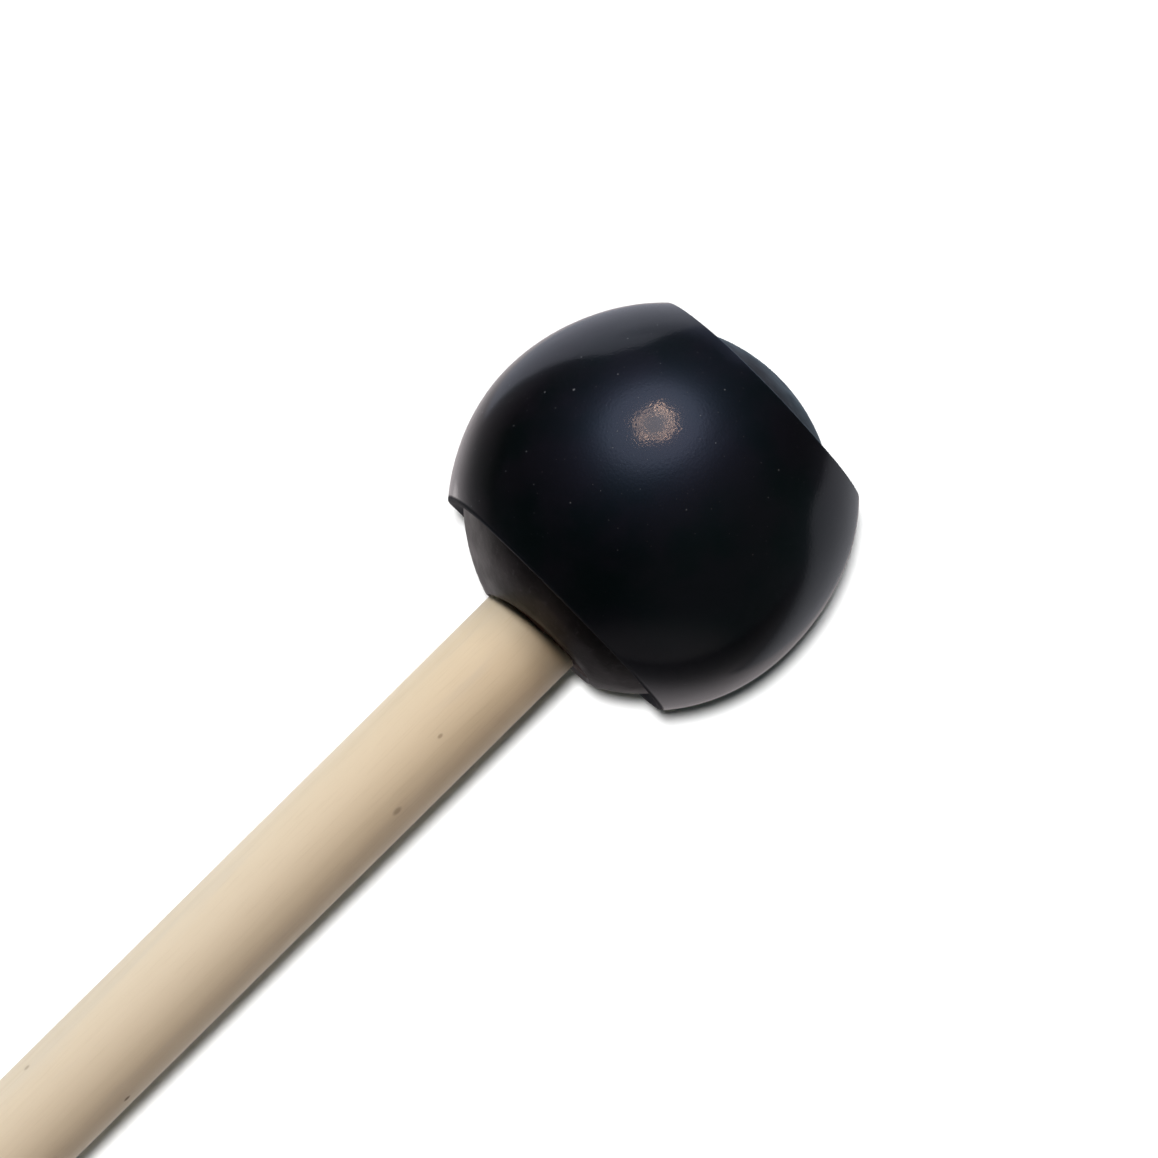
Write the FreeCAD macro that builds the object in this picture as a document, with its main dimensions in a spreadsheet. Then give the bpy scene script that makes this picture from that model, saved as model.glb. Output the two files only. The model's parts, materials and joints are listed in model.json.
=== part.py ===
import FreeCAD, Part
import math
import os
import Sketcher

# A marimba mallet that lies on a table: a wooden shaft glued into a hard ball, with a
# rubber sleeve stretched over the ball. The head is at +X and the table is at height zero.
# The pieces are drawn along their common axis, with the middle of the ball at zero, and
# the finished mallet is then leaned until its head and its butt both touch the table.

# Driving sizes in millimetres, and angles in degrees
SIZES = {
    # Wooden shaft, its length with the tenon, which is sanded thinner all round for the glue
    "shaft_diameter": 8.0,
    "shaft_length": 391.0,
    "tenon_relief": 0.2,
    "tenon_chamfer": 0.8,
    "butt_rounding": 2.0,
    # Ball at the core of the head, and the blind bore that takes the shaft
    "ball_diameter": 27.4,
    "bore_clearance": 0.15,
    "bore_end_gap": 0.4,
    "bore_point_angle": 118.0,
    "mouth_chamfer": 1.8,
    "tip_wall": 6.0,
    # Rubber sleeve: its ends are cut square to the ball, at these angles from the poles
    "sleeve_wall": 1.0,
    "sleeve_seat_gap": 0.02,
    "sleeve_crown_offset": 1.8,
    "sleeve_tip_angle": 39.0,
    "sleeve_shaft_angle": 48.0,
    "sleeve_tip_rounding": 0.3,
    "sleeve_shaft_rounding": 0.12,
    # Glue round the tenon, and how far its surface sags at the mouth of the bore
    "glue_dip": 0.35,
}

# Sizes that follow from the driving ones
SHAFT_RADIUS = "(Sizes.shaft_diameter / 2)"
BALL_RADIUS = "(Sizes.ball_diameter / 2)"
TENON_RADIUS = f"({SHAFT_RADIUS} - Sizes.tenon_relief)"
BORE_RADIUS = f"({TENON_RADIUS} + Sizes.bore_clearance)"
MOUTH_RADIUS = f"({BORE_RADIUS} + Sizes.mouth_chamfer)"
SEAT_RADIUS = f"({BALL_RADIUS} + Sizes.sleeve_seat_gap)"
CROWN_RADIUS = f"({SEAT_RADIUS} + Sizes.sleeve_wall + Sizes.sleeve_crown_offset)"

# Places along the axis, from the middle of the ball towards its tip
BORE_POINT_X = f"({BALL_RADIUS} - Sizes.tip_wall)"
BORE_FLOOR_X = f"({BORE_POINT_X} - {BORE_RADIUS} / tan(Sizes.bore_point_angle / 2 * 1 deg))"
SHAFT_END_X = f"({BORE_FLOOR_X} - Sizes.bore_end_gap)"
MOUTH_X = f"(-sqrt({BALL_RADIUS} ^ 2 - {MOUTH_RADIUS} ^ 2))"
MOUTH_FLOOR_X = f"({MOUTH_X} + Sizes.mouth_chamfer)"
TENON_LENGTH = f"({SHAFT_END_X} - {MOUTH_X})"

# Lean of the mallet: its crown and its rounded butt stand on the same table
BUTT_REACH = f"(Sizes.shaft_length - {SHAFT_END_X} - Sizes.butt_rounding)"
BUTT_RISE = f"(Sizes.sleeve_crown_offset + {SHAFT_RADIUS} - Sizes.butt_rounding)"
LEAN = (
    f"(asin(({CROWN_RADIUS} - Sizes.butt_rounding) / hypot({BUTT_REACH}; {BUTT_RISE}))"
    f" - atan({BUTT_RISE} / {BUTT_REACH}))"
)
BUTT_EXTENT = (
    f"({BUTT_REACH} * cos({LEAN}) + ({SHAFT_RADIUS} - Sizes.butt_rounding) * sin({LEAN})"
    " + Sizes.butt_rounding)"
)
HEAD_X = f"(({BUTT_EXTENT} - {BALL_RADIUS}) / 2)"
HEAD_Z = f"({CROWN_RADIUS} - Sizes.sleeve_crown_offset * cos({LEAN}))"


def make_sheet(doc):
    """Writes the driving sizes into a sheet, each under its own alias."""
    sheet = doc.addObject("Spreadsheet::Sheet", "Sizes")
    for row, (name, value) in enumerate(SIZES.items(), start=1):
        sheet.set(f"A{row}", name)
        sheet.set(f"B{row}", str(value))
        sheet.setAlias(f"B{row}", name)
    doc.recompute()


def make_body(doc, label):
    """Adds an empty body for one piece, leaned and placed as the whole mallet is."""
    body = doc.addObject("PartDesign::Body", label)
    body.Label = label
    body.Placement.Rotation = FreeCAD.Rotation(FreeCAD.Vector(0, -1, 0), 0)
    body.setExpression("Placement.Rotation.Angle", LEAN)
    body.setExpression("Placement.Base.x", HEAD_X)
    body.setExpression("Placement.Base.z", HEAD_Z)
    return body


def make_sketch(body, name, plane_role):
    """Adds a sketch on one of the body's own origin planes."""
    sketch = body.newObject("Sketcher::SketchObject", name)
    plane = next(item for item in body.Origin.OriginFeatures if item.Role == plane_role)
    sketch.AttachmentSupport = [(plane, "")]
    sketch.MapMode = "FlatFace"
    return sketch


def bind(sketch, constraint, name, expression):
    """Adds a dimension to a sketch and ties it to the sheet."""
    index = sketch.addConstraint(constraint)
    sketch.renameConstraint(index, name)
    sketch.setExpression(f"Constraints.{name}", expression)


def value_of(item, expression):
    """Gives the present value of an expression, to start a sketch near its final form."""
    result = item.evalExpression(expression)
    return getattr(result, "Value", result)


def draw_section(sketch, corners):
    """Draws a closed outline through corners, each an expression along the axis and one out from it."""
    starts = [FreeCAD.Vector(value_of(sketch, x), value_of(sketch, r), 0) for x, r in corners]
    for index, start in enumerate(starts):
        end = starts[(index + 1) % len(starts)]
        sketch.addGeometry(Part.LineSegment(start, end), False)
    for index, (x, r) in enumerate(corners):
        following = (index + 1) % len(corners)
        sketch.addConstraint(Sketcher.Constraint("Coincident", index, 2, following, 1))
        pin_corner(sketch, index, "DistanceX", f"along_{index}", x, starts[index].x)
        pin_corner(sketch, index, "DistanceY", f"out_{index}", r, starts[index].y)


def pin_corner(sketch, line, direction, name, expression, value):
    """Ties one coordinate of a line's start to the sheet, or to an axis where it is zero."""
    if expression == "0":
        axis = -2 if direction == "DistanceX" else -1
        sketch.addConstraint(Sketcher.Constraint("PointOnObject", line, 1, axis))
        return
    bind(sketch, Sketcher.Constraint(direction, -1, 1, line, 1, value), name, expression)


def revolve(body, kind, name, sketch):
    """Turns a sketch about the axis of the mallet, as a solid or as a cut."""
    feature = body.newObject(kind, name)
    feature.Profile = sketch
    feature.ReferenceAxis = (sketch, ["H_Axis"])
    feature.Angle = 360
    sketch.Visibility = False
    body.Tip = feature
    return feature


def pad_round(body, name, radius, length, toward_butt):
    """Adds a length of round stock that starts at the mouth of the bore."""
    sketch = make_sketch(body, f"{name}Section", "YZ_Plane")
    start = value_of(sketch, radius)
    sketch.addGeometry(Part.Circle(FreeCAD.Vector(), FreeCAD.Vector(0, 0, 1), start), False)
    sketch.addConstraint(Sketcher.Constraint("Coincident", 0, 3, -1, 1))
    bind(sketch, Sketcher.Constraint("Radius", 0, start), "radius", radius)
    sketch.setExpression("AttachmentOffset.Base.z", MOUTH_X)
    pad = body.newObject("PartDesign::Pad", name)
    pad.Profile = sketch
    pad.Reversed = toward_butt
    pad.setExpression("Length", length)
    sketch.Visibility = False
    return pad


def circle_edges(shape, place, radius):
    """Names the round edges whose middle and radius match, in the body's own frame."""
    names = []
    for index, edge in enumerate(shape.Edges, start=1):
        curve = edge.Curve
        if not isinstance(curve, Part.Circle):
            continue
        if math.isclose(curve.Center.x, place, abs_tol=MATCH) and math.isclose(
            curve.Radius, radius, abs_tol=MATCH
        ):
            names.append(f"Edge{index}")
    return names


def make_shaft(doc):
    """A plain dowel, rounded at the butt, with a thinner, chamfered tenon that goes into the ball."""
    body = make_body(doc, "shaft")
    pad_round(body, "Dowel", SHAFT_RADIUS, f"(Sizes.shaft_length - {TENON_LENGTH})", True)
    tenon = pad_round(body, "Tenon", TENON_RADIUS, TENON_LENGTH, False)
    doc.recompute()

    end = value_of(body, SHAFT_END_X)
    chamfer = body.newObject("PartDesign::Chamfer", "TenonChamfer")
    chamfer.Base = (tenon, circle_edges(tenon.Shape, end, value_of(body, TENON_RADIUS)))
    chamfer.setExpression("Size", "Sizes.tenon_chamfer")
    doc.recompute()

    butt = end - value_of(body, "Sizes.shaft_length")
    fillet = body.newObject("PartDesign::Fillet", "ButtRounding")
    fillet.Base = (chamfer, circle_edges(chamfer.Shape, butt, value_of(body, SHAFT_RADIUS)))
    fillet.setExpression("Radius", "Sizes.butt_rounding")
    body.Tip = fillet
    doc.recompute()
    return body


def make_ball(doc):
    """The hard ball, drilled from the shaft's side with a pointed drill and chamfered at the mouth."""
    body = make_body(doc, "core_ball")
    sketch = make_sketch(body, "BallSection", "XZ_Plane")
    radius = value_of(sketch, BALL_RADIUS)
    whole = Part.Circle(FreeCAD.Vector(), FreeCAD.Vector(0, 0, 1), radius)
    sketch.addGeometry(Part.ArcOfCircle(whole, 0, math.pi), False)
    ends = (FreeCAD.Vector(-radius, 0, 0), FreeCAD.Vector(radius, 0, 0))
    sketch.addGeometry(Part.LineSegment(*ends), False)
    sketch.addConstraint(Sketcher.Constraint("Coincident", 0, 3, -1, 1))
    sketch.addConstraint(Sketcher.Constraint("Coincident", 0, 2, 1, 1))
    sketch.addConstraint(Sketcher.Constraint("Coincident", 0, 1, 1, 2))
    sketch.addConstraint(Sketcher.Constraint("PointOnObject", 0, 1, -1))
    sketch.addConstraint(Sketcher.Constraint("PointOnObject", 0, 2, -1))
    bind(sketch, Sketcher.Constraint("Radius", 0, radius), "radius", BALL_RADIUS)
    ball = revolve(body, "PartDesign::Revolution", "Ball", sketch)
    doc.recompute()
    solid_volume = ball.Shape.Volume
    bore = drill_ball(body)
    doc.recompute()
    if not bore.Shape.Volume < solid_volume:
        raise RuntimeError("the bore cuts nothing out of the ball")
    return body


def drill_ball(body):
    """Cuts the blind bore. The cone of its chamfer runs on past the ball, as far as the ball reaches."""
    outside_x = f"(-{BALL_RADIUS})"
    outside_radius = f"({BORE_RADIUS} + {MOUTH_FLOOR_X} - {outside_x})"
    sketch = make_sketch(body, "BoreSection", "XZ_Plane")
    draw_section(
        sketch,
        [
            (outside_x, "0"),
            (outside_x, outside_radius),
            (MOUTH_FLOOR_X, BORE_RADIUS),
            (BORE_FLOOR_X, BORE_RADIUS),
            (BORE_POINT_X, "0"),
        ],
    )
    return revolve(body, "PartDesign::Groove", "Bore", sketch)


def draw_sleeve(sketch):
    """Draws the sleeve's section: two arcs, for its seat and its crown, joined by its two ends."""
    seat_radius = value_of(sketch, SEAT_RADIUS)
    crown_radius = value_of(sketch, CROWN_RADIUS)
    tip_angle = math.radians(SIZES["sleeve_tip_angle"])
    shaft_angle = math.pi - math.radians(SIZES["sleeve_shaft_angle"])
    crown_offset = SIZES["sleeve_crown_offset"]
    crown_middle = FreeCAD.Vector(0, -crown_offset, 0)
    up = FreeCAD.Vector(0, 0, 1)
    seat = Part.ArcOfCircle(Part.Circle(FreeCAD.Vector(), up, seat_radius), tip_angle, shaft_angle)
    crown = Part.ArcOfCircle(Part.Circle(crown_middle, up, crown_radius), tip_angle, shaft_angle)
    sketch.addGeometry(seat, False)
    sketch.addGeometry(crown, False)
    sketch.addGeometry(Part.LineSegment(seat.StartPoint, crown.StartPoint), False)
    sketch.addGeometry(Part.LineSegment(seat.EndPoint, crown.EndPoint), False)

    sketch.addConstraint(Sketcher.Constraint("Coincident", 0, 3, -1, 1))
    sketch.addConstraint(Sketcher.Constraint("PointOnObject", 1, 3, -2))
    sketch.addConstraint(Sketcher.Constraint("Coincident", 0, 1, 2, 1))
    sketch.addConstraint(Sketcher.Constraint("Coincident", 1, 1, 2, 2))
    sketch.addConstraint(Sketcher.Constraint("Coincident", 0, 2, 3, 1))
    sketch.addConstraint(Sketcher.Constraint("Coincident", 1, 2, 3, 2))
    sketch.addConstraint(Sketcher.Constraint("PointOnObject", -1, 1, 2))
    sketch.addConstraint(Sketcher.Constraint("PointOnObject", -1, 1, 3))
    bind(sketch, Sketcher.Constraint("Radius", 0, seat_radius), "seat_radius", SEAT_RADIUS)
    bind(sketch, Sketcher.Constraint("Radius", 1, crown_radius), "crown_radius", CROWN_RADIUS)
    bind(
        sketch,
        Sketcher.Constraint("DistanceY", 1, 3, -1, 1, crown_offset),
        "crown_offset",
        "Sizes.sleeve_crown_offset",
    )
    bind(sketch, Sketcher.Constraint("Angle", 2, tip_angle), "tip_angle", "Sizes.sleeve_tip_angle * 1 deg")
    bind(
        sketch,
        Sketcher.Constraint("Angle", 3, shaft_angle),
        "shaft_angle",
        "180 deg - Sizes.sleeve_shaft_angle * 1 deg",
    )


def round_rim(body, base, name, corner, size):
    """Rounds the outer edge of one of the sleeve's ends."""
    rounding = body.newObject("PartDesign::Fillet", name)
    rounding.Base = (base, circle_edges(base.Shape, corner.x, corner.y))
    rounding.setExpression("Radius", size)
    body.Tip = rounding
    return rounding


def make_sleeve(doc):
    """The rubber sleeve: a spherical seat, a crowned outside and ends cut square to the ball."""
    body = make_body(doc, "rubber_sleeve")
    sketch = make_sketch(body, "SleeveSection", "XZ_Plane")
    draw_sleeve(sketch)
    sleeve = revolve(body, "PartDesign::Revolution", "Sleeve", sketch)
    doc.recompute()
    tip_corner = sketch.getPoint(1, 1)
    shaft_corner = sketch.getPoint(1, 2)
    sleeve = round_rim(body, sleeve, "TipRimRounding", tip_corner, "Sizes.sleeve_tip_rounding")
    doc.recompute()
    round_rim(body, sleeve, "ShaftRimRounding", shaft_corner, "Sizes.sleeve_shaft_rounding")
    doc.recompute()
    return body


def make_glue(doc):
    """The glue that fills the bore round the tenon, up to the shaft's shoulder, with a sunk surface."""
    body = make_body(doc, "shaft_glue")
    sketch = make_sketch(body, "GlueSection", "XZ_Plane")
    draw_section(
        sketch,
        [
            (MOUTH_X, TENON_RADIUS),
            (MOUTH_X, SHAFT_RADIUS),
            (f"({MOUTH_X} + Sizes.glue_dip)", f"(({SHAFT_RADIUS} + {MOUTH_RADIUS}) / 2)"),
            (MOUTH_X, MOUTH_RADIUS),
            (MOUTH_FLOOR_X, BORE_RADIUS),
            (BORE_FLOOR_X, BORE_RADIUS),
            (BORE_POINT_X, "0"),
            (SHAFT_END_X, "0"),
            (SHAFT_END_X, f"({TENON_RADIUS} - Sizes.tenon_chamfer)"),
            (f"({SHAFT_END_X} - Sizes.tenon_chamfer)", TENON_RADIUS),
        ],
    )
    revolve(body, "PartDesign::Revolution", "Glue", sketch)
    doc.recompute()
    return body


def check(doc, bodies):
    """Stops if any feature failed, or if a piece isn't one valid solid."""
    for item in doc.Objects:
        if "Invalid" in item.State or "Error" in item.State:
            raise RuntimeError(f"{item.Label} failed: {item.State}")
    for body in bodies:
        shape = body.Shape
        if shape.isNull() or not shape.isValid() or len(shape.Solids) != 1:
            raise RuntimeError(f"{body.Label} isn't one valid solid")


# How closely an edge has to match the place and the radius that it is looked up by
MATCH = 1e-4

document = FreeCAD.newDocument("MarimbaMallet")
make_sheet(document)
pieces = [make_shaft(document), make_ball(document), make_sleeve(document), make_glue(document)]
document.recompute()
check(document, pieces)
os.makedirs("parts", exist_ok=True)
for piece in pieces:
    piece.Shape.exportStep(f"parts/{piece.Label}.step")
    box = piece.Shape.BoundBox
    print(
        f"{piece.Label}: {piece.Shape.Volume:.1f} mm3,"
        f" x {box.XMin:.3f} to {box.XMax:.3f}, z {box.ZMin:.4f} to {box.ZMax:.3f}"
    )
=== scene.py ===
import json
import math
import random

import bmesh
import bpy
from mathutils import Matrix, Vector, noise


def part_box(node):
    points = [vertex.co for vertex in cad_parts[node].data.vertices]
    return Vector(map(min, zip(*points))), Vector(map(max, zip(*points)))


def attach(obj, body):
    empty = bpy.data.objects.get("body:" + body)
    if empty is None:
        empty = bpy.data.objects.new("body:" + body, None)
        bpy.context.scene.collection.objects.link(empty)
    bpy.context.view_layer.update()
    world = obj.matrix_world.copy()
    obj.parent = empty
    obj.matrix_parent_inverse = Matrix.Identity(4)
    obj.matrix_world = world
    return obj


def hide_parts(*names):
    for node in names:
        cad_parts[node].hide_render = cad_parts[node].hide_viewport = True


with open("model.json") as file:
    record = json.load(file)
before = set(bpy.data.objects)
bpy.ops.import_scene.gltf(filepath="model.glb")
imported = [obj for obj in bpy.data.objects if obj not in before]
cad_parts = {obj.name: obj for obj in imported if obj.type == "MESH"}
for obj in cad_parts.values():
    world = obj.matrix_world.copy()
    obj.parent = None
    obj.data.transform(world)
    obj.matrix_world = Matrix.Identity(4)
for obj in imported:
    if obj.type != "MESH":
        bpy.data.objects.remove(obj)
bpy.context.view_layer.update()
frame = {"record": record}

# The scene is in metres, and the small sizes below are written in millimetres
MM = 0.001

# The mallet's own frame: its middle is the middle of the ball, its x axis runs along the shaft
# towards the head, which leans by the angle that the record's grip gives, and its y axis points
# to the mallet's left
ball_low, ball_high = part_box("core_ball")
sleeve_low, sleeve_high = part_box("rubber_sleeve")
shaft_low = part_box("shaft")[0]
grip = frame["record"]["mounts"][0]
ALONG = -Vector(grip["axis"])
ABOVE = ALONG.cross(Vector((0, 1, 0)))
LEAN = math.atan2(ALONG.z, ALONG.x)
SHAFT_RADIUS = grip["dims"]["r_mm"] * MM
BALL_RADIUS = (ball_high.z - ball_low.z) / 2
HEAD = Vector((ball_high.x - BALL_RADIUS, 0, (ball_low.z + ball_high.z) / 2))
MALLET = Matrix((ALONG, (0, 1, 0), ABOVE)).transposed().to_4x4()
MALLET.translation = HEAD

# Sizes that the pieces share with their solids
SLEEVE_WALL = (sleeve_high.z - sleeve_low.z) / 2 - BALL_RADIUS
CROWN_OFFSET = 1.8 * MM
SEAT_GAP = 0.02 * MM
TENON_STEP = 0.2 * MM
TENON_RADIUS = SHAFT_RADIUS - TENON_STEP
TENON_CHAMFER = 0.8 * MM
BORE_CLEARANCE = 0.15 * MM
BORE_RADIUS = TENON_RADIUS + BORE_CLEARANCE
DRILL_HALF_ANGLE = math.radians(59)
WALL_AHEAD = 6 * MM
BORE_POINT = BALL_RADIUS - WALL_AHEAD
BORE_FLOOR = BORE_POINT - BORE_RADIUS / math.tan(DRILL_HALF_ANGLE)
END_CLEARANCE = 0.4 * MM
TENON_END = BORE_FLOOR - END_CLEARANCE
MOUTH_CHAMFER = 1.8 * MM
MOUTH_RADIUS = BORE_RADIUS + MOUTH_CHAMFER
MOUTH_PLACE = -math.sqrt(BALL_RADIUS**2 - MOUTH_RADIUS**2)
BUTT_ROUNDING = 2 * MM
butt_reach = HEAD.x - shaft_low.x - BUTT_ROUNDING - (SHAFT_RADIUS - BUTT_ROUNDING) * math.sin(LEAN)
BUTT_END = -(butt_reach / math.cos(LEAN) + BUTT_ROUNDING)

# A point that is nearer than this to a cylinder counts as lying on it
TOUCH = 0.01 * MM


# Sections and pieces that are turned from them


def arc(middle, radius, start, end, steps):
    """Points along an arc in a section, each a place along the axis and a distance from it."""
    x, r = middle
    for step in range(steps + 1):
        angle = start + (end - start) * step / steps
        yield (x + radius * math.cos(angle), r + radius * math.sin(angle))


def line(start, end, steps):
    """Points along a straight line in a section, without its last one."""
    for step in range(steps):
        share = step / steps
        yield (start[0] + (end[0] - start[0]) * share, start[1] + (end[1] - start[1]) * share)


def rounded(before, corner, after, radius, steps):
    """Points of a corner's rounding, in a section."""
    into = (Vector(before) - Vector(corner)).normalized()
    out = (Vector(after) - Vector(corner)).normalized()
    half = into.angle(out) / 2
    middle = Vector(corner) + (into + out).normalized() * radius / math.sin(half)
    first = Vector(corner) + into * radius / math.tan(half) - middle
    last = Vector(corner) + out * radius / math.tan(half) - middle
    for step in range(steps + 1):
        turned = first.slerp(last, step / steps) * first.length
        yield tuple(middle + turned)


def turned_piece(name, section, around, closed, form):
    """Turns a section about the mallet's axis. form moves each point, given it and its angle."""
    mesh = bmesh.new()
    rings = []
    for x, r in section:
        if r <= 0:
            rings.append([mesh.verts.new((x, 0, 0))])
            continue
        ring = []
        for step in range(around):
            angle = math.tau * step / around
            place = Vector((x, r * math.cos(angle), r * math.sin(angle)))
            ring.append(mesh.verts.new(form(place, angle)))
        rings.append(ring)
    following = rings[1:] + rings[:1] if closed else rings[1:]
    for ring, other in zip(rings, following):
        for step in range(around):
            after = (step + 1) % around
            if len(ring) == 1:
                corners = (ring[0], other[after], other[step])
            elif len(other) == 1:
                corners = (ring[step], ring[after], other[0])
            else:
                corners = (ring[step], ring[after], other[after], other[step])
            mesh.faces.new(corners)
    bmesh.ops.recalc_face_normals(mesh, faces=mesh.faces)
    data = bpy.data.meshes.new(name)
    mesh.to_mesh(data)
    mesh.free()
    data.shade_smooth()
    piece = bpy.data.objects.new(name, data)
    piece.matrix_world = MALLET
    bpy.context.scene.collection.objects.link(piece)
    return piece


def uneven(place, width, height, seed):
    """A small smooth random offset at a place, in waves of a width and a height."""
    return height * noise.noise(place / width + Vector((seed, seed, seed)))


# The sleeve

# Where its two cuts lie, seen from the ball's middle, and how far their outer corners are rounded
TIP_ANGLE = math.radians(39.5)
SHAFT_SIDE_ANGLE = math.radians(48.4)
TIP_ROUNDING = 0.14 * MM
SHAFT_SIDE_ROUNDING = 0.35 * MM
CROWN_STEPS = 120
SEAT_STEPS = 40

# How the photograph shows its rubber: thicker on the right, most of all at the tip, and thinner
# towards the shaft, from further away on the left than on the right
THICK_RIGHT = 0.15 * MM
THICK_TIP_RIGHT = 0.7 * MM
THIN_LEFT = 0.65 * MM
THIN_LEFT_POWER = 1.75
THIN_SHAFT_RIGHT = 1.1 * MM
THIN_SHAFT_RIGHT_POWER = 4

# How it shows the cuts: the one at the tip leans and is set back on the right, and the one towards
# the shaft lies lower on the ball at the left, most of all on the sleeve's seat. The slide that
# takes it there is narrow round the mallet and grows towards the shaft.
TIP_PITCH = math.sin(math.radians(0.9))
TIP_BACK_RIGHT = 0.2 * MM
LONG_LEFT = math.radians(1.5)
SLANT_LEFT = math.radians(2.0)
LEFT_FALL = 10
SLIDE_GROWTH = 1.4

# Random waves, each with its width, height and seed
RIM_WAVE = (6 * MM, 0.12 * MM, 3)
RUBBER_WAVE = (9 * MM, 0.05 * MM, 7)


def sleeve_section():
    """The sleeve's outline: its seat on the ball, its crowned outside and its two rounded rims."""
    seat = BALL_RADIUS + SEAT_GAP
    crown = BALL_RADIUS + SLEEVE_WALL + CROWN_OFFSET

    def outside(angle):
        across = CROWN_OFFSET * math.sin(angle)
        reach = -across + math.sqrt(across**2 + crown**2 - CROWN_OFFSET**2)
        return Vector((reach * math.cos(angle), reach * math.sin(angle)))

    def inside(angle):
        return Vector((seat * math.cos(angle), seat * math.sin(angle)))

    near = TIP_ANGLE
    far = math.pi - SHAFT_SIDE_ANGLE
    ahead = (far - near) / CROWN_STEPS
    tip_rim = list(
        rounded(inside(near), outside(near), outside(near + ahead), radius=TIP_ROUNDING, steps=10)
    )
    shaft_rim = list(
        rounded(outside(far - ahead), outside(far), inside(far), radius=SHAFT_SIDE_ROUNDING, steps=8)
    )
    start = math.atan2(tip_rim[-1][1], tip_rim[-1][0])
    end = math.atan2(shaft_rim[0][1], shaft_rim[0][0])
    crown_points = [
        tuple(outside(start + (end - start) * step / CROWN_STEPS)) for step in range(1, CROWN_STEPS)
    ]
    seat_points = [
        tuple(inside(far - (far - near) * step / SEAT_STEPS)) for step in range(SEAT_STEPS + 1)
    ]
    tip_cut = list(line(seat_points[-1], tip_rim[0], steps=4))[1:]
    shaft_cut = list(line(shaft_rim[-1], seat_points[0], steps=4))[1:]
    return tip_rim + crown_points + shaft_rim + shaft_cut + seat_points + tip_cut


def slid(place, turn):
    """Moves a point round the ball's middle towards the shaft."""
    width = math.hypot(place.y, place.z)
    length = place.length
    angle = math.atan2(width, -place.x) - turn
    share = length * math.sin(angle) / width
    return Vector((-length * math.cos(angle), place.y * share, place.z * share))


def sleeve_form(place, angle):
    """The sleeve sits slightly askew, and its cuts and outside are not quite even."""
    tip_share = max(place.x, 0) / BALL_RADIUS
    shaft_share = max(-place.x, 0) / BALL_RADIUS
    outward = Vector((0, place.y, place.z)).normalized()
    left = max(0, outward.y)
    right = max(0, -outward.y)
    lift = min(1, max(0, (place.length - BALL_RADIUS) / SLEEVE_WALL))
    askew = place.copy()
    askew.x += place.z * TIP_PITCH * tip_share
    askew.x += (tip_share + shaft_share) ** 3 * uneven(place, *RIM_WAVE)
    askew.x -= TIP_BACK_RIGHT * right * tip_share**2
    wall = uneven(place, *RUBBER_WAVE)
    wall += (THICK_RIGHT + THICK_TIP_RIGHT * tip_share**2) * right
    wall -= THIN_LEFT * left * shaft_share**THIN_LEFT_POWER
    wall -= THIN_SHAFT_RIGHT * right * shaft_share**THIN_SHAFT_RIGHT_POWER
    turn = (LONG_LEFT + SLANT_LEFT * (1 - lift)) * left**LEFT_FALL
    return slid(askew, turn * min(1, SLIDE_GROWTH * shaft_share) ** 3) + outward * wall * lift


# The joint between the ball and the shaft

# As the photograph shows, the shaft sits a little to the right of the ball's middle and enters it
# at a slight tilt. The bore's mouth is narrower at the left, where its edge is not sunk as it is
# elsewhere, and worn back at its upper right.
SHAFT_DRIFT = Vector((0, -0.37 * MM, 0))
JOINT_TILT = 0.3 * MM
MOUTH_NARROWING = 0.295
MOUTH_NARROWING_POWER = 1.5
MOUTH_SINK = 0.12 * MM
MOUTH_BOW = 0.34 * MM
BOW_START = math.radians(25)

# How far from the mouth's edge its shape reaches: along the axis for the narrowing, the sinking
# and the wear, then under the ball's skin
NARROWING_REACH = 3 * MM
SINK_REACH = 0.35 * MM
BOW_REACH = 1.6 * MM
SKIN_DEPTH = 0.3 * MM


def nearness(place, reach):
    """One at the mouth of the bore, down to zero at a distance from it along the axis."""
    return max(0, 1 - abs(place.x - MOUTH_PLACE) / reach)


def narrowed(angle, near):
    """The width of the bore's mouth round the shaft, as a share of its full one."""
    return 1 - MOUTH_NARROWING * max(0, math.cos(angle)) ** MOUTH_NARROWING_POWER * near


def joint_shift(angle):
    """How far the joint's edge lies towards the tip, round the shaft."""
    return -JOINT_TILT * math.cos(angle)


def mouth_shift(angle):
    """How far the mouth's edge is sunk towards the tip, round the shaft."""
    return MOUTH_SINK * (1 - max(0, math.cos(angle)))


def mouth_bow(angle):
    """How far the mouth's edge is worn back on its upper right, round the shaft."""
    return MOUTH_BOW * max(0, math.sin(angle - BOW_START)) ** 2


# The ball

MOUTH_ROUNDING = 0.12 * MM


def ball_section():
    """The ball's outline, from its tip round to the bore's mouth and down to the bore's point."""
    mouth_angle = math.pi - math.asin(MOUTH_RADIUS / BALL_RADIUS)
    skin = list(arc((0, 0), BALL_RADIUS, 0, mouth_angle, steps=140))
    skin[0] = (BALL_RADIUS, 0)
    chamfer_end = (MOUTH_PLACE + MOUTH_CHAMFER, BORE_RADIUS)
    edge = list(rounded(skin[-2], skin[-1], chamfer_end, radius=MOUTH_ROUNDING, steps=5))
    chamfer = list(line(skin[-1], chamfer_end, steps=4))[1:]
    bore = list(line(chamfer_end, (BORE_FLOOR, BORE_RADIUS), steps=6))
    return skin[:-1] + edge + chamfer + bore + [(BORE_FLOOR, BORE_RADIUS), (BORE_POINT, 0)]


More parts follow.
